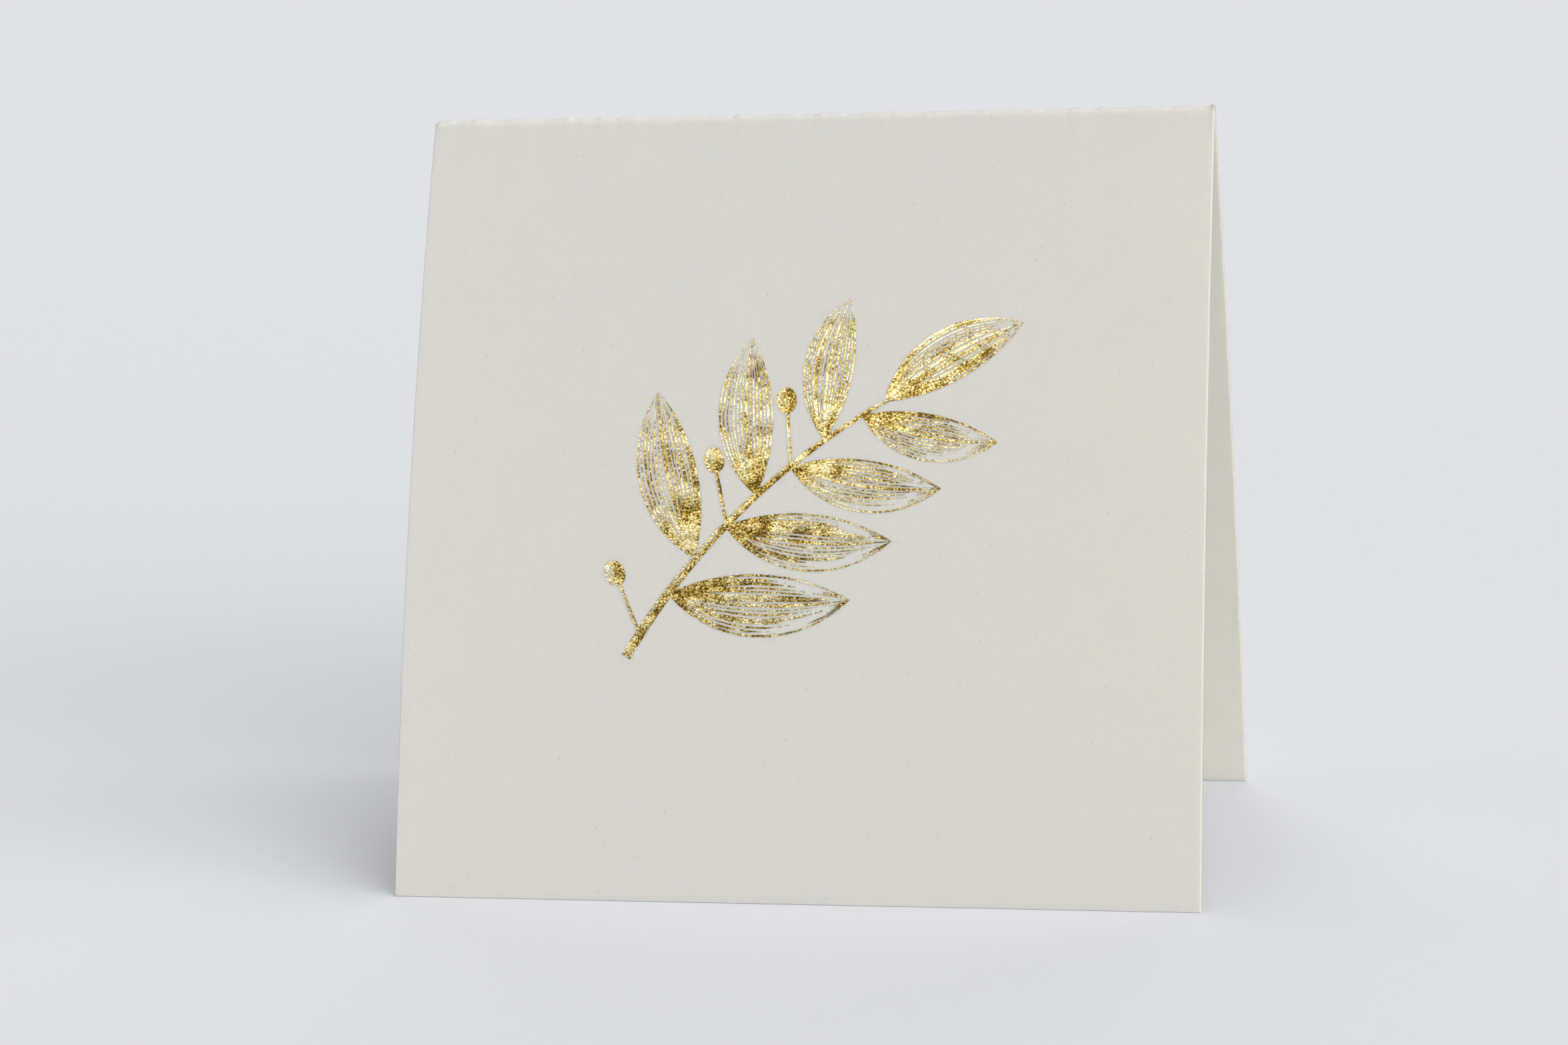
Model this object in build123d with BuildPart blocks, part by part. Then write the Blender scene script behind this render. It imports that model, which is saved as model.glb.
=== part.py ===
"""A square greeting card, standing as a tent on its two lower edges.

One sheet of thick cotton card is creased across its middle and folded, and both
panels bow outwards a little. The front panel faces -Y, the fold runs along X and
the card stands on the plane Z = 0. A sprig of pointed leaves and fruits in gold
foil lies on the front panel. Lengths are in millimetres, angles in degrees.
"""

from build123d import *
from math import cos, radians, sin
import os

os.makedirs("parts", exist_ok=True)

# The sheet
card_width = 127.0  # along the fold
panel_length = 127.0  # from the fold to a lower edge, along the sheet
stock_thickness = 0.5
crease_inner_radius = 0.5
crease_bead_radius = 0.3  # the ridge that creasing raises inside the fold

# How it stands
panel_lean = 19.7  # of a panel's two ends, from the vertical
panel_curl = 12.8  # change of a panel's slope from the fold to the lower edge
foot_crush = 0.04  # how much of each lower corner is pressed flat

# The foil
foil_thickness = 0.05

# The sprig's stem, set out from the middle of the front panel
stem_foot_left = 27.0
stem_foot_down = 25.0
stem_tip_right = 14.5
stem_tip_up = 16.5
stem_rise = 4.0  # of its arch above the straight line
stem_foot_width = 1.6
stem_tip_width = 0.6

# Its leaves, by turns below and above the stem, each a lens with bare slivers
# between lines that draw together towards both ends
leaf_count = 7
first_leaf_place = 0.2  # as a share of the stem's length
last_leaf_place = 0.9
first_leaf_length = 29.0
last_leaf_length = 22.0
first_leaf_spread = 56.0  # away from the stem
last_leaf_spread = 44.0
tip_leaf_length = 25.0
tip_leaf_place = 0.97
leaf_slenderness = 0.34  # width over length
leaf_bend = 1.4  # how far its midrib bows away from the straight line
slivers_a_side = 3
midrib_width = 0.45
line_width = 0.28
leaf_base_share = 0.17  # of its length, foil all over
leaf_tip_share = 0.1
leaf_shoulder_share = 0.12  # how much later the outer slivers start, and sooner end

# Its fruits, all above the stem, each a solid oval on a stalk
fruit_places = (0.07, 0.44, 0.67)  # as shares of the stem's length
fruit_length = 4.2
fruit_width = 3.2
stalk_length = 9.0
stalk_width = 0.5
stalk_spread = 56.0

# The section of a panel: its middle line leaves the fold at the top lean and
# reaches the ground at the foot lean, on one arc.
top_lean = panel_lean + panel_curl / 2
foot_lean = panel_lean - panel_curl / 2
half_stock = stock_thickness / 2
crease_radius = crease_inner_radius + half_stock
crease_outer_radius = crease_inner_radius + stock_thickness
bowed_length = panel_length - crease_radius * radians(90 - top_lean)
bow_radius = bowed_length / radians(panel_curl)
face_radius = bow_radius + half_stock
panel_chord = 2 * bow_radius * sin(radians(panel_curl / 2))

# Points of the section, across and up
crease_centre = Vector(
    0,
    panel_chord * cos(radians(panel_lean))
    + half_stock * sin(radians(foot_lean))
    - crease_radius * sin(radians(top_lean))
    - foot_crush,
)
top_normal = Vector(-1, 0).rotate(Axis.Z, -top_lean)
bow_centre = crease_centre + top_normal * (crease_radius - bow_radius)


def panel_arc(radius):
    """The front panel's arc at one radius, from the fold to the lower edge."""
    return CenterArc(bow_centre, radius, 180 - top_lean, panel_curl)


def crease_arc(radius):
    """The arc round the fold at one radius, from the back panel to the front."""
    return CenterArc(crease_centre, radius, top_lean, 180 - 2 * top_lean)


with BuildPart() as card:
    with BuildSketch(Plane.YZ):
        with BuildLine():
            crease_arc(crease_outer_radius)
            inside = crease_arc(crease_inner_radius)
            face = panel_arc(face_radius)
            reverse = panel_arc(bow_radius - half_stock)
            cut_edge = Line(face @ 1, reverse @ 1)
            mirror([face, reverse, cut_edge], about=Plane.YZ)
        make_face()
        with Locations(inside @ 0.5):
            Circle(crease_bead_radius)
    extrude(amount=card_width / 2, both=True)
    split(bisect_by=Plane.XY, keep=Keep.TOP)
card.part.label = "card"

# The sprig is drawn on the plane that touches the middle of the front panel.
face_normal = Vector(-1, 0).rotate(Axis.Z, -panel_lean)
face_middle = bow_centre + face_normal * face_radius
sprig_plane = Plane(
    origin=(0, face_middle.X, face_middle.Y),
    x_dir=(1, 0, 0),
    z_dir=(0, face_normal.X, face_normal.Y),
)
face_bow = face_radius * (1 - cos(radians(panel_curl / 2)))

with BuildLine() as stem:
    SagittaArc((-stem_foot_left, -stem_foot_down), (stem_tip_right, stem_tip_up), stem_rise)


def beside_stem(place, distance):
    """A point at a share of the stem's length and a distance to its left."""
    across = (stem.line % place).rotate(Axis.Z, 90)
    return stem.line @ place + across * distance


def on_stem(place, turn):
    """Where a leaf or a stalk starts, with its X axis turned away from the stem."""
    along = (stem.line % place).rotate(Axis.Z, turn)
    return Plane(origin=stem.line @ place, x_dir=along, z_dir=(0, 0, 1)).location


def leaf(length, bend):
    """A leaf along X with its base at the origin, its midrib bowed to the left."""
    half_width = length * leaf_slenderness / 2
    foil_lines = midrib_width / 2 + slivers_a_side * line_width
    sliver_width = (half_width - foil_lines) / slivers_a_side
    base_end = length * leaf_base_share
    tip_end = length * (1 - leaf_tip_share)
    shoulder = length * leaf_shoulder_share
    with BuildSketch() as slivers:
        for number in range(slivers_a_side):
            low = midrib_width / 2 + number * (sliver_width + line_width)
            for side in (-1, 1):
                with BuildLine():
                    for height in (low, low + sliver_width):
                        SagittaArc((0, 0), (length, 0), bend + side * height)
                make_face()
        with BuildLine():
            Polyline(
                (base_end, 0),
                (base_end + shoulder, bend - half_width),
                (tip_end - shoulder, bend - half_width),
                (tip_end, 0),
                (tip_end - shoulder, bend + half_width),
                (base_end + shoulder, bend + half_width),
                close=True,
            )
        make_face(mode=Mode.INTERSECT)
    with BuildSketch() as blade:
        with BuildLine():
            for side in (-1, 1):
                SagittaArc((0, 0), (length, 0), bend + side * half_width)
        make_face()
        add(slivers.sketch, mode=Mode.SUBTRACT)
    return blade.sketch


def fruit():
    """A fruit on its stalk along X, with the stalk's base at the origin."""
    with BuildSketch() as oval:
        Rectangle(stalk_length, stalk_width, align=(Align.MIN, Align.CENTER))
        with Locations((stalk_length + fruit_length / 2 - stalk_width, 0)):
            Ellipse(fruit_length / 2, fruit_width / 2)
    return oval.sketch


def between(first, last, share):
    """The value at a share of the way from a first to a last one."""
    return first + share * (last - first)


with BuildPart() as foil_sprig:
    with BuildSketch(sprig_plane):
        with BuildLine():
            stem_sides = []
            for side in (-1, 1):
                points = []
                for place in (0, 0.5, 1):
                    width = between(stem_foot_width, stem_tip_width, place)
                    points.append(beside_stem(place, side * width / 2))
                stem_sides.append(ThreePointArc(*points))
            for end in (0, 1):
                Line(stem_sides[0] @ end, stem_sides[1] @ end)
        make_face()
        for number in range(leaf_count):
            share = number / (leaf_count - 1)
            place = between(first_leaf_place, last_leaf_place, share)
            length = between(first_leaf_length, last_leaf_length, share)
            spread = between(first_leaf_spread, last_leaf_spread, share)
            side = 1 if number % 2 else -1
            with Locations(on_stem(place, side * spread)):
                add(leaf(length, side * leaf_bend))
        with Locations(on_stem(tip_leaf_place, 0)):
            add(leaf(tip_leaf_length, leaf_bend))
        for place in fruit_places:
            with Locations(on_stem(place, stalk_spread)):
                add(fruit())
    extrude(amount=face_bow + foil_thickness, both=True)
    with BuildSketch(Plane.YZ):
        with BuildLine():
            under = panel_arc(face_radius)
            top = panel_arc(face_radius + foil_thickness)
            for end in (0, 1):
                Line(under @ end, top @ end)
        make_face()
    extrude(amount=card_width / 2, both=True, mode=Mode.INTERSECT)
foil_sprig.part.label = "foil_sprig"

for piece in (card, foil_sprig):
    export_step(piece.part, f"parts/{piece.part.label}.step")
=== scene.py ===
import bpy
from math import copysign, cos, hypot, pi, radians, sin, sqrt
from mathutils import Matrix, Vector, noise
from random import Random


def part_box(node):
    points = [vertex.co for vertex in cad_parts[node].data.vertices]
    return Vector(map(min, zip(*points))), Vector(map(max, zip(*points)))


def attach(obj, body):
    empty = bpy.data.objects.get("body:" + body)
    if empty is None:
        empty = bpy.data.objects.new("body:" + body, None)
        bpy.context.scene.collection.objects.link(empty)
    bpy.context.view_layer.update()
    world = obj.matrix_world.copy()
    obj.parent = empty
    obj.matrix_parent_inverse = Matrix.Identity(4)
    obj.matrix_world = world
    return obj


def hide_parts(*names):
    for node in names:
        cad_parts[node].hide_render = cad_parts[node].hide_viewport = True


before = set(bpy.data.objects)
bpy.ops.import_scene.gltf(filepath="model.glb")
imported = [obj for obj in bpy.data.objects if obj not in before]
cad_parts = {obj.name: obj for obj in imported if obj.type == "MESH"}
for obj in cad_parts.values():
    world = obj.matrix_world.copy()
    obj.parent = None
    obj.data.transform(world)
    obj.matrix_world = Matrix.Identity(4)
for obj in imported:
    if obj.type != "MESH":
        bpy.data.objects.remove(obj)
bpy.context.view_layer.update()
mm = 0.001


# Working by hand: one piece in hand at a time, and nothing else selected

def putDown():
    active = bpy.context.view_layer.objects.active
    if active and active.mode != "OBJECT":
        bpy.ops.object.mode_set(mode="OBJECT")
    bpy.ops.object.select_all(action="DESELECT")


def takeUp(*pieces):
    putDown()
    for piece in pieces:
        piece.select_set(True)
    bpy.context.view_layer.objects.active = pieces[0]


def selectInEdit(piece, kind, chosen):  # kind is "VERT" or "FACE", chosen tests one of them
    takeUp(piece)
    bpy.ops.object.mode_set(mode="EDIT")
    bpy.ops.mesh.select_mode(type=kind)
    bpy.ops.mesh.select_all(action="DESELECT")
    bpy.ops.object.mode_set(mode="OBJECT")
    elements = piece.data.vertices if kind == "VERT" else piece.data.polygons
    for element in elements:
        element.select = chosen(element)
    bpy.ops.object.mode_set(mode="EDIT")


def finishWith(piece, kind, **settings):  # one modifier, applied at once
    takeUp(piece)
    modifier = piece.modifiers.new(kind.title(), kind)
    for setting, value in settings.items():
        setattr(modifier, setting, value)
    bpy.ops.object.modifier_apply(modifier=modifier.name)


def dress(piece, material):  # in that material and no other
    piece.data.materials.clear()
    piece.data.materials.append(material)


def blend(first, last, share):  # numbers or wires
    return first + (last - first) * share


def smoothRise(value, start, end):  # 0 before start, 1 after end
    share = min(max((value - start) / (end - start), 0), 1)
    return share * share * (3 - 2 * share)


# Materials: sockets that take Python arithmetic, and one way to add any other node

class Wire:
    def __init__(self, shader, socket):
        self.shader = shader
        self.socket = socket

    def __add__(self, other):
        return self.shader.math("ADD", self, other)

    def __sub__(self, other):
        return self.shader.math("SUBTRACT", self, other)

    def __rsub__(self, other):
        return self.shader.math("SUBTRACT", other, self)

    def __mul__(self, other):
        return self.shader.math("MULTIPLY", self, other)

    __radd__ = __add__
    __rmul__ = __mul__


class Shader:
    def __init__(self, owner):
        owner.use_nodes = True
        self.tree = owner.node_tree
        self.tree.nodes.clear()

    def node(self, kind, settings, inputs, output=0):  # sockets by their name or number
        made = self.tree.nodes.new("ShaderNode" + kind)
        for setting, value in settings.items():
            if setting == "stops":
                self.setStops(made.color_ramp, value)
            else:
                setattr(made, setting, value)
        for name, value in inputs.items():
            if isinstance(value, Wire):
                self.tree.links.new(value.socket, made.inputs[name])
            else:
                made.inputs[name].default_value = value
        return Wire(self, made.outputs[output]) if made.outputs else None

    def setStops(self, ramp, stops):
        while len(ramp.elements) < len(stops):
            ramp.elements.new(1)
        for element, (position, colour) in zip(ramp.elements, stops):
            element.position = position
            element.color = (*colour, 1)

    def math(self, operation, first, second=0):
        return self.node("Math", {"operation": operation}, {0: first, 1: second})

    def spot(self):  # on the object's own coordinates
        return self.node("TexCoord", {}, {}, "Object")

    def along(self, axis):
        return self.node("SeparateXYZ", {}, {"Vector": self.spot()}, axis)

    def place(self, stretch=(1, 1, 1), turn=(0, 0, 0)):  # a pattern is stretched, then turned
        inputs = {"Vector": self.spot(), "Rotation": turn, "Scale": stretch}
        return self.node("Mapping", {"vector_type": "TEXTURE"}, inputs)

    def noise(self, size, detail, roughness=0.5, spot=None):  # size of a blotch in metres
        inputs = {"Vector": spot or self.place(), "Scale": 1 / size}
        return self.node("TexNoise", {}, {**inputs, "Detail": detail, "Roughness": roughness})

    def dots(self, apart, reach, spot, solid=0.4):  # 1 in scattered spots of that half width
        inputs = {"Vector": spot, "Scale": 1 / apart}
        distance = self.node("TexVoronoi", {}, inputs, "Distance")
        return 1 - self.between(distance, reach * solid / apart, reach / apart)

    def between(self, value, low, high):  # 0 at low, 1 at high, held beyond both
        return self.node("MapRange", {}, {"Value": value, "From Min": low, "From Max": high})

    def mix(self, factor, first, second):  # 6 and 7 are the colour sockets, 2 the colour result
        return self.node("Mix", {"data_type": "RGBA"}, {0: factor, 6: first, 7: second}, 2)

    def tint(self, colour, mask, strength, over):
        return self.mix(mask * strength, colour, over)

    def bump(self, height, distance, strength, under=None):
        inputs = {"Height": height, "Distance": distance, "Strength": strength}
        if under:
            inputs["Normal"] = under
        return self.node("Bump", {}, inputs)

    def surface(self, **inputs):
        named = {name.replace("_", " "): value for name, value in inputs.items()}
        shade = self.node("BsdfPrincipled", {}, named)
        self.node("OutputMaterial", {}, {"Surface": shade})


def newMaterial(name):
    material = bpy.data.materials.new(name)
    return material, Shader(material)


# The card, from its section: foot, front panel, fold, back panel, foot

cardLow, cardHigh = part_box("card")
card = {
    "panelLength": 127 * mm,
    "stock": 0.5 * mm,
    "creaseInside": 0.5 * mm,  # radius of the fold's inner side
    "creaseBead": 0.3 * mm,  # radius of the ridge that creasing raises inside
    "lean": 19.7,  # degrees from the vertical, between a panel's two ends
    "curl": 12.8,  # degrees that a panel's slope changes on its way down
    "columns": 360,
    "panelSteps": 32,
    "creaseSteps": 14,
    "weld": 0.001 * mm,  # points nearer than this become one
    "edgeRound": 0.05 * mm,
    "edgeSegments": 2,
    "edgeAngle": 60,  # degrees, from which an edge is rounded
    "smoothAngle": 40,  # degrees, up to which two faces shade as one
    "warp": 0.16 * mm,  # slow unevenness of the panels
    "warpSize": 60 * mm,
    "foldZone": (-0.8 * mm, 0.3 * mm),  # over the crease's centre: where the fold's shape sets in
    "foldWavers": ((3.6 * mm, 0.22 * mm), (1.1 * mm, 0.16 * mm)),  # size and height of each
    "foldAcross": 0.6,  # below 1 the wavers are drawn out across the fold
    "foldSink": 0.25,  # of a waver's height, taken off all along
    "nubReach": 1.0 * mm,  # the fold's right end is pressed up a little
    "nubRise": 0.34 * mm,
    "droopReach": 1.0 * mm,  # and its left end down
    "droopFall": 0.3 * mm,
}
cardWidth = cardHigh.x - cardLow.x
halfStock = card["stock"] / 2
topLean = radians(card["lean"] + card["curl"] / 2)
footLean = radians(card["lean"] - card["curl"] / 2)
creaseRadius = card["creaseInside"] + halfStock
creaseHeight = cardHigh.z - creaseRadius - halfStock
bowedLength = card["panelLength"] - creaseRadius * (pi / 2 - topLean)
bowRadius = bowedLength / radians(card["curl"])
bowY = (bowRadius - creaseRadius) * cos(topLean)  # centre of the front panel's arc
bowZ = creaseHeight - (bowRadius - creaseRadius) * sin(topLean)
frontFoot = Vector((0, bowY - bowRadius * cos(footLean), bowZ + bowRadius * sin(footLean)))


def sweepSheet():
    putDown()
    middle = frontFoot + Vector((0, cardWidth / 2, 0))
    bpy.ops.mesh.primitive_grid_add(
        x_subdivisions=card["columns"], y_subdivisions=1, size=cardWidth, location=middle
    )
    sheet = bpy.context.object
    sheet.name = "cardSheet"
    bpy.ops.object.transform_apply(location=True)
    # only the row of points along the front foot stays, and is spun over the fold to the back
    selectInEdit(sheet, "VERT", lambda vertex: vertex.co.y > frontFoot.y + cardWidth / 2)
    bpy.ops.mesh.delete(type="VERT")
    bpy.ops.mesh.select_all(action="SELECT")
    curl = radians(card["curl"])
    around = pi - 2 * topLean
    turns = (
        (card["panelSteps"], curl, (0, bowY, bowZ)),
        (card["creaseSteps"], around, (0, 0, creaseHeight)),
        (card["panelSteps"], curl, (0, -bowY, bowZ)),
    )
    for steps, angle, centre in turns:
        bpy.ops.mesh.spin(steps=steps, angle=angle, center=centre, axis=(1, 0, 0))
    bpy.ops.mesh.select_all(action="SELECT")
    bpy.ops.mesh.remove_doubles(threshold=card["weld"])
    bpy.ops.mesh.normals_make_consistent(inside=False)
    putDown()
    return sheet


def warpSheet(sheet):
    clouds = bpy.data.textures.new("slowUnevenness", type="CLOUDS")
    clouds.noise_scale = card["warpSize"]
    clouds.noise_depth = 1
    finishWith(sheet, "DISPLACE", texture=clouds, strength=card["warp"], mid_level=0.5)
    half = cardWidth / 2
    foldStart, foldEnd = (creaseHeight + above for above in card["foldZone"])
    for vertex in sheet.data.vertices:
        x, y, z = vertex.co
        rise = card["nubRise"] * smoothRise(x, half - card["nubReach"], half)
        rise -= card["droopFall"] * smoothRise(-x, half - card["droopReach"], half) ** 2
        for size, height in card["foldWavers"]:
            spot = Vector((x, y * card["foldAcross"], 0)) / size
            rise += height * (noise.noise(spot) - card["foldSink"])
        vertex.co.z += smoothRise(z, foldStart, foldEnd) * rise


def raiseBead(sheet):  # the ridge inside the fold
    top = creaseHeight + card["creaseInside"]
    for vertex in sheet.data.vertices:
        aside = abs(vertex.co.y)
        inside = hypot(vertex.co.y, vertex.co.z - creaseHeight) < creaseRadius
        if inside and vertex.co.z > creaseHeight and aside < card["creaseBead"]:
            vertex.co.z = top - sqrt(card["creaseBead"] ** 2 - aside**2)


def buildCardSheet():
    sheet = sweepSheet()
    warpSheet(sheet)
    finishWith(sheet, "SOLIDIFY", thickness=card["stock"], offset=0, use_even_offset=True)
    finishWith(
        sheet, "BEVEL", width=card["edgeRound"], segments=card["edgeSegments"],
        limit_method="ANGLE", angle_limit=radians(card["edgeAngle"]),
    )
    raiseBead(sheet)
    selectInEdit(sheet, "VERT", lambda vertex: True)
    bpy.ops.mesh.bisect(  # cuts the feet flat where they stand
        plane_co=(0, 0, 0), plane_no=(0, 0, 1),
        use_fill=True, clear_inner=True, threshold=card["weld"],
    )
    takeUp(sheet)
    bpy.ops.object.shade_smooth_by_angle(angle=radians(card["smoothAngle"]))
    return sheet


cotton = {
    # size, detail and roughness of each noise
    "blotches": (9 * mm, 2),
    "clouds": (1.6 * mm, 3, 0.6),
    "grain": (0.3 * mm, 1, 0.8),
    "fibres": (0.4 * mm, 1.5, 0.7),
    "fibreStretch": (2.4, 1, 1),
    "fibreTurn": (0, 0.3, 0),
    "cool": (0.625, 0.617, 0.588, 1),
    "warm": (0.643, 0.628, 0.583, 1),
    "warmZone": (0.34, 0.66),
    "cloudShare": 0.55,  # the rest is blotches
    "pitZone": (0.3, 0.7),
    "fibreShare": 0.4,  # the rest is grain
    "foldZone": (0.2 * mm, 1.2 * mm),  # over the crease's centre
    "foldRagged": 0.9 * mm,
    "nubReach": 0.7 * mm,
    "nubRagged": 0.5 * mm,
    "cutZone": (0.03 * mm, 0.09 * mm),  # in from the two ends
    "cutRagged": 0.05 * mm,
    "speckSpread": (3.4 * mm, 0.17 * mm),  # how far apart, and half a speck's width
    "looseSpread": (2 * mm, 0.09 * mm),
    "looseStretch": (4, 1, 1),
    "looseTurns": (12, 75, 137),  # degrees
    # strength and colour of what lies over the ground
    # painted shade of the paper's fine relief, with the grain's own uneven tone, where grain and
    # fibres run high
    "pitShade": (0.16, (0.49, 0.47, 0.44, 1)),
    # paler fold: its broken fibres, with a painted highlight over them
    "fold": (0.6, (0.73, 0.71, 0.655, 1)),
    # painted shade on the nub at the fold's right end
    "nubShade": (0.5, (0.42, 0.36, 0.28, 1)),
    # painted shade on the cut ends, over the cut fibres' own darker tone
    "cutShade": (0.9, (0.35, 0.343, 0.325, 1)),
    "specks": (0.42, (0.24, 0.23, 0.22, 1)),
    "loose": (0.3, (0.24, 0.24, 0.23, 1)),
    # depth and strength of each bump
    "felt": (0.05 * mm, 0.5),
    "nap": (0.05 * mm, 0.6),
    "roughness": (0.68, 0.4),  # its least, and how much the clouds add
    "roughZone": (-1.2, 1.6),
    "gloss": 0.3,
    "glow": 1.0 * mm,  # how far light wanders in the stock
    "glowTint": (1.0, 0.92, 0.72),  # of that, for red, green and blue
}


def cardMaterial():
    material, shader = newMaterial("cottonCard")
    half = cardWidth / 2
    blotches = shader.noise(*cotton["blotches"])
    clouds = shader.noise(*cotton["clouds"])
    grain = shader.noise(*cotton["grain"])
    lengthwise = shader.place(cotton["fibreStretch"], cotton["fibreTurn"])
    fibres = shader.noise(*cotton["fibres"], lengthwise)

    warmth = shader.between(blend(blotches, clouds, cotton["cloudShare"]), *cotton["warmZone"])
    colour = shader.mix(warmth, cotton["cool"], cotton["warm"])
    # painted shade of the paper's fine relief, with the grain's own uneven tone
    pitShade = shader.between(blend(grain, fibres, cotton["fibreShare"]), *cotton["pitZone"])
    colour = shader.tint(colour, pitShade, *cotton["pitShade"])

    height = shader.along("Z") - creaseHeight + clouds * cotton["foldRagged"]
    fold = shader.between(height, *cotton["foldZone"])  # its broken fibres are paler, and a painted highlight adds to that along the fold
    colour = shader.tint(colour, fold, *cotton["fold"])
    sideways = shader.along("X")
    towardsEnd = sideways + clouds * cotton["nubRagged"]
    # painted shade where the fold ends in the nub
    nubShade = shader.between(towardsEnd, half - cotton["nubReach"], half) * fold
    colour = shader.tint(colour, nubShade, *cotton["nubShade"])
    fromEnd = half - shader.math("ABSOLUTE", sideways) + (grain - 0.5) * cotton["cutRagged"]
    # painted shade darkens the cut ends
    cutShade = 1 - shader.between(fromEnd, *cotton["cutZone"])
    colour = shader.tint(colour, cutShade, *cotton["cutShade"])

    specks = shader.dots(*cotton["speckSpread"], shader.spot())
    colour = shader.tint(colour, specks, *cotton["specks"])
    for degrees in cotton["looseTurns"]:  # short loose fibres, each way round
        stretched = shader.place(cotton["looseStretch"], (0, radians(degrees), 0))
        loose = shader.dots(*cotton["looseSpread"], stretched)
        colour = shader.tint(colour, loose, *cotton["loose"])

    felt = shader.bump(clouds, *cotton["felt"])
    nap = shader.bump(blend(grain, fibres, 0.5), *cotton["nap"], felt)
    least, added = cotton["roughness"]
    shader.surface(
        Base_Color=colour,
        Roughness=shader.between(clouds, *cotton["roughZone"]) * added + least,
        Normal=nap,
        Specular_IOR_Level=cotton["gloss"],
        Subsurface_Weight=1.0,
        Subsurface_Radius=cotton["glowTint"],
        Subsurface_Scale=cotton["glow"],
    )
    return material


cardSheet = buildCardSheet()
dress(cardSheet, cardMaterial())
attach(cardSheet, "root")
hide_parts("card")
print("card sheet swept, thickened and trimmed:", len(cardSheet.data.polygons), "faces")


# The foil sprig, drawn in millimetres on the plane that touches the front panel's middle.
# Where two numbers stand together, chance picks between them unless a note says otherwise.

stem = {
    "footLeft": 27.0,
    "footDown": 25.0,
    "tipRight": 14.5,
    "tipUp": 16.5,
    "rise": 4.0,  # of its arch above the straight line
    "footWidth": 1.6,
    "tipWidth": 0.6,
    "columns": 190,
    "tones": (-0.75, -0.35, 0.15, 0.9),  # of each line: painted shade below 0 on the lower lines, painted highlight above 0 on the upper ones
    "slivers": (0, 1, 4),  # between each two lines, from the lower side up
    "sliverHalf": 0.10,  # half a sliver's width, over half the stem's width
    "sliverPlace": (0.15, 0.85),  # in its own share of the stem
    "sliverReach": (0.04, 0.1),  # half its length, over the stem's
    "waverShare": 0.6,  # of the foil's waver
    "waverRun": 60,  # about the stem's length, which its waver runs along
    "waverFrom": 900,  # numbers its edges apart from the leaves' and stalks'
}
leaf = {
    "count": 7,
    "firstPlace": 0.2,  # as a share of the stem's length
    "lastPlace": 0.9,
    "firstLength": 29.0,
    "lastLength": 22.0,
    "firstSpread": 56.0,  # degrees away from the stem
    "lastSpread": 44.0,
    "tipLength": 25.0,
    "tipPlace": 0.97,
    "slenderness": 0.34,
    "bend": 1.4,  # how far the midrib bows aside
    "linesASide": 6,
    "columns": 110,
    "outline": 0.06,  # width of its outline over half the leaf's width
    "midrib": 0.06,
    "waverStep": 40,  # numbers one leaf's edges apart from the next one's
    "tone": (-0.5, 0.6),
    "paintedLightAbove": 0.2,  # painted light added above the stem
    # painted shade added below the stem
    "paintedShadeBelow": -0.15,
    # painted shade on each leaf's densely lined side
    "shadedSidePaintedShade": -0.25,
    "paintedShadeAtBase": -0.35,  # painted shade added at its base, and fading out along that share of its length
    "baseShare": 0.35,
}
leafSeam = {  # the bare gaps between a leaf's lines, in shares of its length
    "lineShare": 0.38,  # of the room between two seams that foil takes
    "jitter": 0.13,  # of that room
    "gap": (0.85, 1.1),  # over the even gap
    "shadedGap": 0.85,
    "merged": 0.2,  # of the seams stay nearly shut, so that two lines run as one streak
    "mergedGap": 0.25,
    "opens": (0.02, 0.2),
    "opensOver": 0.2,
    "shadedLater": 0.12,
    "shuts": (0.9, 0.94),
    "shutsOver": 0.05,
    "uneven": 0.35,
    "unevenRuns": 7,  # along a leaf
    "phaseStep": 20,  # from one leaf's noise to the next one's
}
leafLine = {  # the lines that end short, in shares of the leaf's length
    "innerEnd": 0.95,  # beside the midrib
    "outerEndAbove": 0.9,  # beside the outline, on leaves above the stem
    "outerEndShaded": 0.6,
    "outerEndBright": 0.42,
    "falloff": 1.4,  # how late on the way out the lines get short
    "end": (-0.12, 0.04),
    "dashes": 0.5,  # of the lines go on with a dash
    "dashAfter": (0.015, 0.03),
    "dashLength": (0.02, 0.05),
    "innerBack": 0.92,  # where they set in again near the tip
    "outerBack": 0.8,
    "back": (-0.05, 0.06),
    "leastBreak": 0.05,
}
stalk = {
    "length": 9.0,
    "width": 0.5,
    "columns": 34,
    "tones": (-0.6, 0.7),  # painted shade on its lower line, painted highlight on its upper line
    "slitHalf": 0.1,
    "waverFrom": 700,
    "waverStep": 9,
}
fruit = {
    "places": (0.07, 0.44, 0.67),  # as shares of the stem's length
    "spread": 56.0,  # degrees away from the stem
    "length": 4.2,
    "width": 3.2,
    "columns": 30,
    "lines": 6,
    "tones": (-0.9, 0.7),  # painted shade on its lowest line rising to painted highlight on its highest
    "paintedLightAlong": 0.3,  # painted highlight: how much brighter its far end is
    "slitLine": 4,
    "slitHalf": 0.09,
    "slitOpens": (0.32, 0.5),  # from and to, in shares of its length
    "slitShuts": (0.62, 0.74),  # from and to
}
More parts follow.
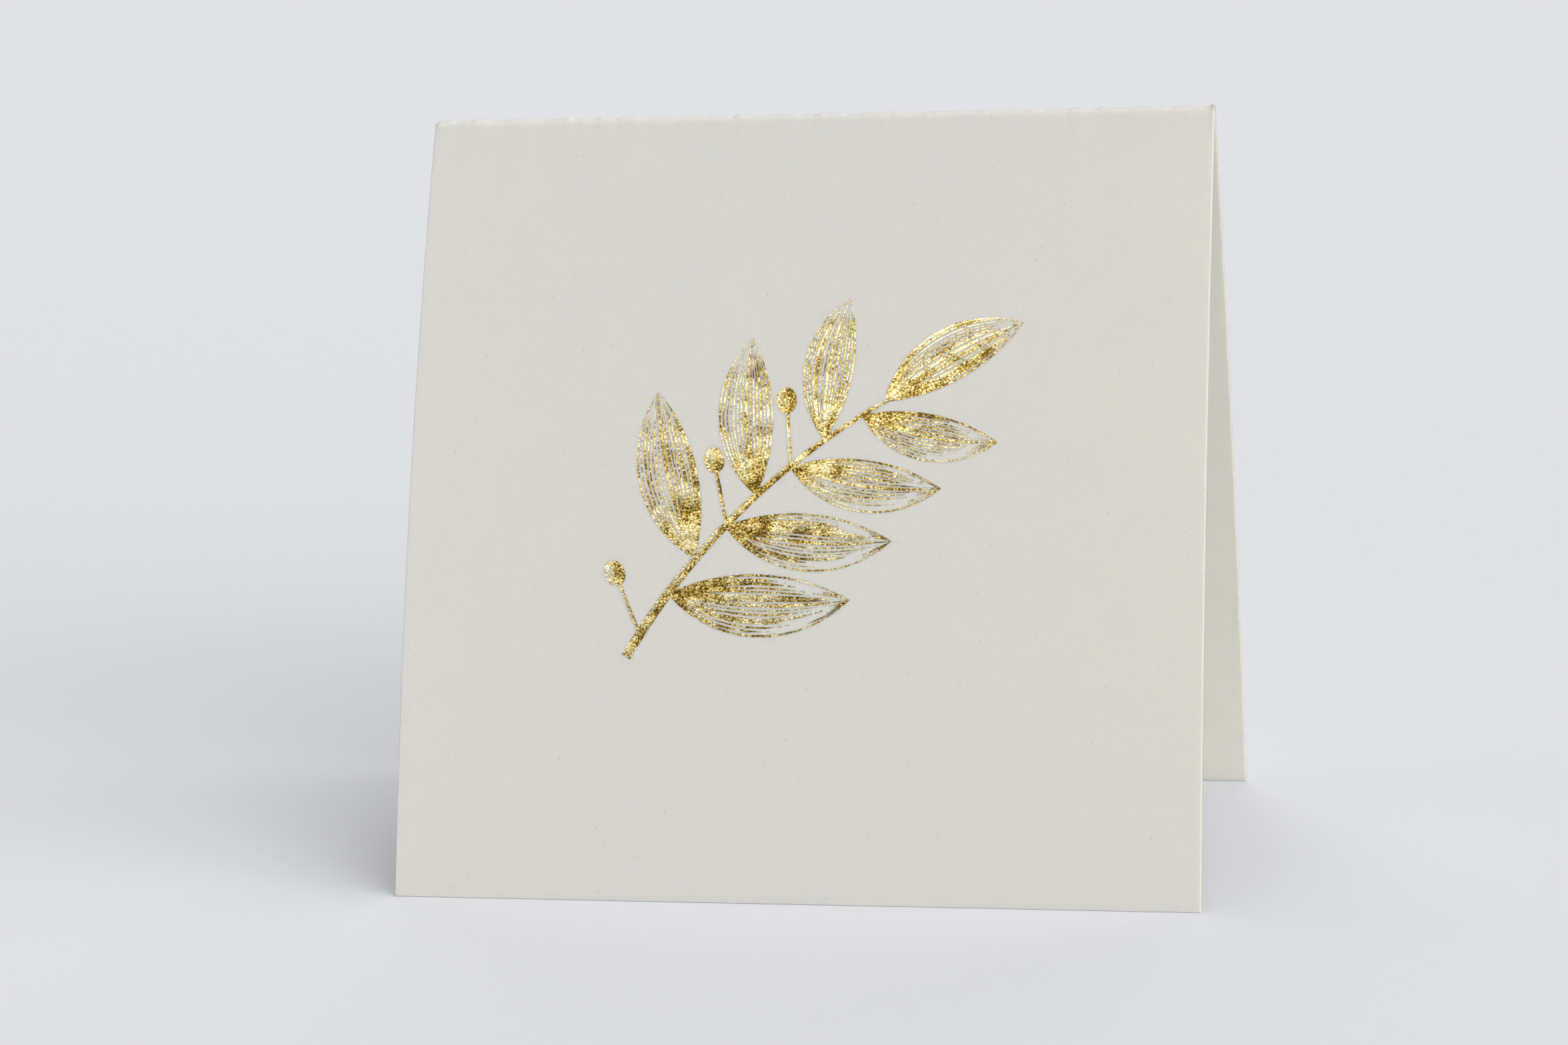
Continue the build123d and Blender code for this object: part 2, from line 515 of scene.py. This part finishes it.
foil = {
    "thickness": 0.034 * mm,
    "step": 0.0015 * mm,  # each shape lies this much over the one before
    "proud": 0.9,  # 1 lies wholly on the card, 0 is sunk in by half
    "smoothAngle": 30,  # degrees, up to which two faces shade as one
    "weld": 0.012,  # points nearer than this become one, so a shut seam is closed
    "waver": 0.07,  # of an engraved edge
    "waverSize": 1.1,
    "waverApart": 3.7,  # from one edge's noise to the next one's
    "ragged": 0.3,  # of a seam's gap
    "raggedRuns": 30,
    "raggedApart": 5.1,
    "nibIn": (0.02, 0.05),  # a stroke's start thickens, from that far before to that far after
    "nibOut": (0.09, 0.02),  # and its end thins out
    "nibLeast": 0.25,
    "seed": 7,
}
chance = Random(foil["seed"])


def arcHeight(along, length, rise):  # of an arc with that rise over a straight base
    flattest = 1e-6  # a straight line has no radius
    radius = (length**2 / 4 + rise**2) / (2 * max(abs(rise), flattest))
    sunk = sqrt(max(radius**2 - (along - length / 2) ** 2, 0)) - radius
    return copysign(sunk + abs(rise), rise)


stemFoot = Vector((-stem["footLeft"], -stem["footDown"]))
stemTip = Vector((stem["tipRight"], stem["tipUp"]))
stemChord = stemTip - stemFoot
stemAcross = Vector((-stemChord.y, stemChord.x)).normalized()
stemRadius = (stemChord.length**2 / 4 + stem["rise"] ** 2) / (2 * stem["rise"])
stemMiddle = (stemFoot + stemTip) / 2 - stemAcross * (stemRadius - stem["rise"])
stemStart = (stemFoot - stemMiddle).angle_signed(Vector((1, 0)))
stemTurn = (stemTip - stemMiddle).angle_signed(Vector((1, 0))) - stemStart


def onStem(place):  # a point of the stem's middle line, and the way on from there
    angle = stemStart + stemTurn * place
    out = Vector((cos(angle), sin(angle)))
    return stemMiddle + out * stemRadius, Vector((out.y, -out.x))


def turned(vector, degrees):
    angle = radians(degrees)
    return Vector((
        vector.x * cos(angle) - vector.y * sin(angle),
        vector.x * sin(angle) + vector.y * cos(angle),
    ))


def fromStem(place, degrees):  # gives what turns a shape's own x and y into a point of the sprig
    root, onward = onStem(place)
    ahead = turned(onward, degrees)
    aside = turned(ahead, 90)
    return lambda x, y: root + ahead * x + aside * y


def wander(x, y):  # a smooth drift about 0, the same at each run
    return noise.noise(Vector((x, y, foil["seed"])))


def waver(edge, along, amount):  # a hand's small unevenness
    return amount * wander(along / foil["waverSize"], edge * foil["waverApart"])


def nibAt(way, stretches):  # a stroke thins out towards each of its ends
    nib = 1
    for start, end in stretches:
        if start <= way <= end:
            if start > 0:
                before, after = foil["nibIn"]
                nib = min(nib, smoothRise(way, start - before, start + after))
            if end < 1:
                before, after = foil["nibOut"]
                nib = min(nib, 1 - smoothRise(way, end - before, end + after))
    return max(nib, foil["nibLeast"])


def seamEdge(seams, number, side, way):  # the near or far edge of a seam
    share, half, openAt = seams[number]
    ragged = wander(way * foil["raggedRuns"], number * foil["raggedApart"])
    return share + side * half * openAt(way) * (1 + foil["ragged"] * ragged)


def engrave(name, spot, columns, seams, strokes, toneAt):
    # A seam is its share from side to side, half its gap and how open it is on the way along.
    # A stroke lists the stretches that are drawn between two seams.
    # Each point keeps its line's tone, painted highlight and shade with some chance in it, for
    # the foil's colour.
    rows = 2 * len(strokes)
    putDown()
    bpy.ops.mesh.primitive_grid_add(x_subdivisions=columns, y_subdivisions=rows - 1, size=2)
    piece = bpy.context.object
    piece.name = name
    tones = piece.data.attributes.new("tone", "FLOAT", "POINT")
    rowOf = []
    for vertex in piece.data.vertices:
        way = (vertex.co.x + 1) / 2
        row = round((vertex.co.y + 1) / 2 * (rows - 1))
        line = row // 2
        edges = seamEdge(seams, line, 1, way), seamEdge(seams, line + 1, -1, way)
        share = blend(sum(edges) / 2, edges[row % 2], nibAt(way, strokes[line]))
        vertex.co.xy = spot(way, share, line + row % 2)
        tones.data[vertex.index].value = toneAt(way, line)
        rowOf.append(row)
    drawn = []
    for face in piece.data.polygons:
        row = min(rowOf[index] for index in face.vertices)
        ways = [index % (columns + 1) / columns for index in face.vertices]
        way = sum(ways) / len(ways)
        inked = any(start <= way <= end for start, end in strokes[row // 2])
        drawn.append(row % 2 == 0 and inked)
    selectInEdit(piece, "FACE", lambda face: not drawn[face.index])
    bpy.ops.mesh.delete(type="FACE")
    bpy.ops.mesh.select_all(action="SELECT")
    bpy.ops.mesh.remove_doubles(threshold=foil["weld"])
    putDown()
    return piece


def never(way):  # a seam that stays shut, such as an outline
    return 0


def opening(start, end, phase):  # shut at first, then open until near the end, unevenly
    def openAt(way):
        opened = smoothRise(way, start, start + leafSeam["opensOver"])
        shut = smoothRise(way, end, end + leafSeam["shutsOver"])
        uneven = 1 + leafSeam["uneven"] * wander(way * leafSeam["unevenRuns"], phase)
        return opened * (1 - shut) * uneven

    return openAt


def leafShares():  # where the seams lie from one outline to the other, and half an even gap
    lines = leaf["linesASide"]
    bare = 1 - leafSeam["lineShare"]
    room = 1 - leaf["outline"] - leaf["midrib"]
    halfGap = room * bare / 2 / (lines + bare)
    first = leaf["midrib"] + halfGap
    pitch = (room - 2 * halfGap) / lines
    steps = range(lines + 1)
    shares = [1]
    for side, inOrder in ((1, reversed(steps)), (-1, steps)):
        for step in inOrder:
            jitter = chance.uniform(-1, 1) * leafSeam["jitter"] if 0 < step < lines else 0
            shares.append(side * (first + pitch * (step + jitter)))
    shares.append(-1)
    return shares[::-1], halfGap


def leafStroke(middle, shaded, above):  # the stretches that are drawn of one line
    outward = abs(middle)
    if above:
        outer = leafLine["outerEndAbove"]
    else:
        outer = leafLine["outerEndShaded" if shaded else "outerEndBright"]
    end = blend(leafLine["innerEnd"], outer, outward ** leafLine["falloff"])
    end += chance.uniform(*leafLine["end"])
    stretches = [(0, end)]
    if chance.random() < leafLine["dashes"]:
        start = end + chance.uniform(*leafLine["dashAfter"])
        stretches.append((start, start + chance.uniform(*leafLine["dashLength"])))
    back = blend(leafLine["innerBack"], leafLine["outerBack"], outward)
    back += chance.uniform(*leafLine["back"])
    if back > stretches[-1][1] + leafLine["leastBreak"]:
        stretches.append((back, 1))
    return stretches


def engravedLeaf(number, length, bend, place):
    half = length * leaf["slenderness"] / 2
    shares, evenGap = leafShares()
    darkSide = copysign(1, -bend)
    above = bend > 0  # leaves above the stem are lined all over, those below fade out

    def spot(way, share, edge):
        along = length * way
        body = 4 * way * (1 - way)  # none at both ends, where the edges meet
        height = arcHeight(along, length, bend + share * half)
        wavered = waver(number * leaf["waverStep"] + edge, along, foil["waver"])
        return place(along, height + wavered * body)

    seams = []
    for step, share in enumerate(shares):
        if abs(share) == 1:
            seams.append((share, 0, never))
            continue
        shaded = share * darkSide > 0
        start = chance.uniform(*leafSeam["opens"])
        halfGap = evenGap * chance.uniform(*leafSeam["gap"])
        if shaded:
            start += leafSeam["shadedLater"]
            halfGap *= leafSeam["shadedGap"]
        if chance.random() < leafSeam["merged"]:
            halfGap *= leafSeam["mergedGap"]
        end = chance.uniform(*leafSeam["shuts"])
        phase = number * leafSeam["phaseStep"] + step
        seams.append((share, halfGap, opening(start, end, phase)))

    strokes = []
    tones = []
    for low, high in zip(shares, shares[1:]):
        middle = (low + high) / 2
        whole = abs(middle) < leaf["midrib"] or high == 1 or low == -1
        shaded = middle * darkSide > 0
        strokes.append([(0, 1)] if whole else leafStroke(middle, shaded, above))
        # painted light above the stem, painted shade below it
        tone = chance.uniform(*leaf["tone"]) + leaf["paintedLightAbove" if above else "paintedShadeBelow"]
        tones.append(tone + leaf["shadedSidePaintedShade"] if shaded else tone)

    def toneAt(way, line):
        return tones[line] + leaf["paintedShadeAtBase"] * (1 - smoothRise(way, 0, leaf["baseShare"]))

    return engrave(f"leaf{number}", spot, leaf["columns"], seams, strokes, toneAt)


def slivers(count):  # how open a seam of the stem is, where slivers of card show through
    centres = [(step + chance.uniform(*stem["sliverPlace"])) / count for step in range(count)]
    reaches = [chance.uniform(*stem["sliverReach"]) for centre in centres]

    def openAt(way):
        opened = [1 - ((way - c) / reach) ** 2 for c, reach in zip(centres, reaches)]
        return max([0] + opened)

    return openAt


def engravedStem():
    lines = len(stem["tones"])

    def spot(way, share, edge):
        middle, onward = onStem(way)
        aside = Vector((-onward.y, onward.x))
        half = blend(stem["footWidth"], stem["tipWidth"], way) / 2
        amount = foil["waver"] * stem["waverShare"]
        wavered = waver(stem["waverFrom"] + edge, way * stem["waverRun"], amount)
        return middle + aside * (share * half + wavered)

    seams = [(-1, 0, never)]
    for line, count in enumerate(stem["slivers"], 1):
        seams.append((blend(-1, 1, line / lines), stem["sliverHalf"], slivers(count)))
    seams.append((1, 0, never))
    return engrave(
        "stem", spot, stem["columns"], seams, [[(0, 1)]] * lines,
        lambda way, line: stem["tones"][line],
    )


def engravedStalk(number, place):
    def spot(way, share, edge):
        along = stalk["length"] * way
        edge += stalk["waverFrom"] + number * stalk["waverStep"]
        return place(along, share * stalk["width"] / 2 + waver(edge, along, foil["waver"]))

    def openAt(way):
        return sin(pi * way) ** 2

    seams = [(-1, 0, never), (0, stalk["slitHalf"], openAt), (1, 0, never)]
    return engrave(
        f"stalk{number}", spot, stalk["columns"], seams, [[(0, 1)]] * 2,
        lambda way, line: stalk["tones"][line],
    )


def engravedFruit(number, place):
    lines = fruit["lines"]
    start = stalk["length"] - stalk["width"]  # the stalk's end lies in the fruit

    def spot(way, share, edge):
        angle = pi * way
        along = start + fruit["length"] * (1 - cos(angle)) / 2
        return place(along, share * fruit["width"] / 2 * sin(angle))

    def openAt(way):
        return smoothRise(way, *fruit["slitOpens"]) * (1 - smoothRise(way, *fruit["slitShuts"]))

    def toneAt(way, line):
        tone = blend(*fruit["tones"], line / (lines - 1))
        return tone + fruit["paintedLightAlong"] * (way - 0.5)

    seams = [(-1, 0, never)]
    for line in range(1, lines):
        half = fruit["slitHalf"] if line == fruit["slitLine"] else 0
        seams.append((blend(-1, 1, line / lines), half, openAt))
    seams.append((1, 0, never))
    return engrave(f"fruit{number}", spot, fruit["columns"], seams, [[(0, 1)]] * lines, toneAt)


def drawSprig():
    shapes = [engravedStem()]
    for number in range(leaf["count"]):
        share = number / (leaf["count"] - 1)
        side = 1 if number % 2 else -1
        length = blend(leaf["firstLength"], leaf["lastLength"], share)
        spread = side * blend(leaf["firstSpread"], leaf["lastSpread"], share)
        place = fromStem(blend(leaf["firstPlace"], leaf["lastPlace"], share), spread)
        shapes.append(engravedLeaf(number, length, side * leaf["bend"], place))
    tip = fromStem(leaf["tipPlace"], 0)
    shapes.append(engravedLeaf(leaf["count"], leaf["tipLength"], leaf["bend"], tip))
    for number, at in enumerate(fruit["places"]):
        place = fromStem(at, fruit["spread"])
        shapes.append(engravedStalk(number, place))
        shapes.append(engravedFruit(number, place))
    return shapes


def sprigPlane():  # from the drawing's millimetres to where it touches the front panel's middle
    lean = radians(card["lean"])
    faceRadius = bowRadius + halfStock
    normal = Vector((0, -cos(lean), sin(lean)))
    origin = Vector((0, bowY, bowZ)) + normal * faceRadius
    across = Vector((1, 0, 0))
    up = normal.cross(across)
    axes = Matrix((across, up, normal)).transposed().to_4x4()
    return Matrix.Translation(origin) @ axes @ Matrix.Scale(mm, 4)


def pressOn(shapes):  # lays each shape on the card, gives it its thickness and joins them
    plane = sprigPlane()
    for number, shape in enumerate(shapes):
        shape.matrix_world = plane
        bpy.context.view_layer.update()
        finishWith(
            shape, "SHRINKWRAP", target=cardSheet, wrap_method="PROJECT", use_project_z=True,
            use_negative_direction=True, use_positive_direction=False,
        )
        takeUp(shape)
        bpy.ops.object.transform_apply(location=True, rotation=True, scale=True)
        thickness = foil["thickness"] + foil["step"] * number
        finishWith(shape, "SOLIDIFY", thickness=thickness, offset=foil["proud"])
    takeUp(*shapes)
    bpy.ops.object.join()
    sprig = bpy.context.object
    sprig.name = "goldSprig"
    bpy.ops.object.shade_smooth_by_angle(angle=radians(foil["smoothAngle"]))
    return sprig


gold = {
    # size, detail and roughness of each noise
    "crumple": (0.28 * mm, 2, 0.6),
    # patches give the waves' bump, and broad painted reflections as brighter and darker zones
    "patches": (3.2 * mm, 2),
    # glitter gives fine painted glints in the colour, and uneven roughness
    "glitter": (0.34 * mm, 2, 0.6),
    "glitterTurn": (0.4, 0.2, 0.7),
    "patchShare": 0.4,  # the rest is glitter
    "lineTone": 0.055,  # how much a line's tone counts: its painted highlight and shade
    # the ramp paints reflections into the foil's colour, from dark brown painted shade up to pale
    # painted glints
    "stops": (
        (0.38, (0.16, 0.09, 0.015)),
        (0.45, (0.52, 0.35, 0.070)),
        (0.52, (0.94, 0.76, 0.29)),
        (0.60, (0.98, 0.92, 0.68)),
    ),
    # depth and strength of each bump
    "waves": (0.25 * mm, 1.0),
    "dents": (0.06 * mm, 1.0),
    "roughness": (0.08, 0.25),  # its least, and how much the glitter adds
}


def foilMaterial():
    material, shader = newMaterial("goldFoil")
    crumple = shader.noise(*gold["crumple"])
    patches = shader.noise(*gold["patches"])
    glitter = shader.noise(*gold["glitter"], shader.place(turn=gold["glitterTurn"]))
    line = shader.node("Attribute", {"attribute_name": "tone"}, {}, "Fac")
    # painted glints and reflections, with each line's painted highlight and shade
    tone = blend(glitter, patches, gold["patchShare"]) + line * gold["lineTone"]
    colour = shader.node("ValToRGB", {"stops": gold["stops"]}, {"Fac": tone})
    waves = shader.bump(patches, *gold["waves"])
    dents = shader.bump(crumple, *gold["dents"], waves)
    least, added = gold["roughness"]
    shader.surface(
        Base_Color=colour, Metallic=1.0, Roughness=glitter * added + least, Normal=dents
    )
    return material


goldSprig = pressOn(drawSprig())
dress(goldSprig, foilMaterial())
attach(goldSprig, "root")
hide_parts("foil_sprig")
print("sprig engraved and pressed on:", len(goldSprig.data.polygons), "faces")


# The studio: a pale floor, an even pale sky and five wide soft lamps

studio = {
    "floorSize": 24.0,
    "floorColour": (0.862, 0.872, 0.904, 1),
    "sky": (0.245, 0.2465, 0.251, 1),  # what lights the card
    "backdrop": (0.745, 0.752, 0.778, 1),  # what the camera and the foil see
}
reflections = {  # only the foil sees them: the dim room behind the camera, a bright pane in it
    "room": {
        "towards": (-0.10, -0.96, 0.12),
        "zone": (0.72, 0.93),  # cosines of where it begins and where it is whole
        "colour": (0.145, 0.137, 0.134, 1),
    },
    "pane": {
        "towards": (-0.32, -0.62, 0.72),
        "zone": (0.915, 0.96),
        "colour": (1.62, 1.61, 1.59, 1),
    },
}
lamps = {  # each one's spread in degrees, and its share of full light
    "overhead": {"towards": (0.12, -0.05, 1), "spread": 55, "share": 0.22},
    "behind": {"towards": (-0.1, 0.9, 0.55), "spread": 60, "share": 0.23},
    "besideCamera": {"towards": (0.55, -0.82, 0.22), "spread": 50, "share": 0.67},
    "rightSide": {"towards": (0.95, -0.1, 0.3), "spread": 50, "share": 0.2},
    "openEnd": {"towards": (0.86, -0.5, 0.06), "spread": 40, "share": 0.4},  # reaches inside
}
view = {
    "from": (0.1176, -0.61565, 0.15722),
    "left": 11.512,  # degrees that the camera looks to the left of straight ahead
    "down": 9.455,
    "tilt": -1.850,
    "lens": 89.42,
    "sensor": 36.0,
}


def layFloor():
    putDown()
    bpy.ops.mesh.primitive_plane_add(size=studio["floorSize"])
    floor = bpy.context.object
    floor.name = "paleFloor"
    material, shader = newMaterial("palePaperRoll")
    shader.surface(Base_Color=studio["floorColour"], Roughness=0.95, Specular_IOR_Level=0.1)
    dress(floor, material)


def lightSky():
    world = bpy.data.worlds.new("paleSky")
    bpy.context.scene.world = world
    shader = Shader(world)
    way = shader.node("TexCoord", {}, {}, "Generated")
    glossy = shader.node("LightPath", {}, {}, "Is Glossy Ray")
    seen = glossy
    for ray in ("Is Camera Ray", "Is Transmission Ray"):
        seen = seen + shader.node("LightPath", {}, {}, ray)
    colour = shader.mix(seen, studio["sky"], studio["backdrop"])
    for values in reflections.values():
        middle = tuple(Vector(values["towards"]).normalized())
        settings = {"operation": "DOT_PRODUCT"}
        nearness = shader.node("VectorMath", settings, {0: way, 1: middle}, "Value")
        mask = shader.between(nearness, *values["zone"]) * glossy
        colour = shader.mix(mask, colour, values["colour"])
    light = shader.node("Background", {}, {"Color": colour, "Strength": 1.0})
    shader.node("OutputWorld", {}, {"Surface": light})


def hangLamp(name, towards, spread, share):
    lamp = bpy.data.lights.new(name, "SUN")
    lamp.angle = radians(spread)
    lamp.energy = share * pi  # pi makes a white surface that faces the lamp just white
    holder = bpy.data.objects.new(name, lamp)
    bpy.context.scene.collection.objects.link(holder)
    holder.rotation_euler = Vector(towards).to_track_quat("Z", "Y").to_euler()


def setCamera():
    data = bpy.data.cameras.new("photographer")
    data.sensor_width = view["sensor"]
    data.lens = view["lens"]
    camera = bpy.data.objects.new("photographer", data)
    bpy.context.scene.collection.objects.link(camera)
    heading = Matrix.Rotation(radians(view["left"]), 4, "Z")
    nod = Matrix.Rotation(radians(90 - view["down"]), 4, "X")
    tilt = Matrix.Rotation(radians(view["tilt"]), 4, "Z")
    camera.matrix_world = Matrix.Translation(view["from"]) @ heading @ nod @ tilt
    bpy.context.scene.camera = camera


layFloor()
lightSky()
for lampName, values in lamps.items():
    hangLamp(lampName, **values)
setCamera()
bpy.context.scene.view_settings.view_transform = "Standard"
print("studio lit and camera set")
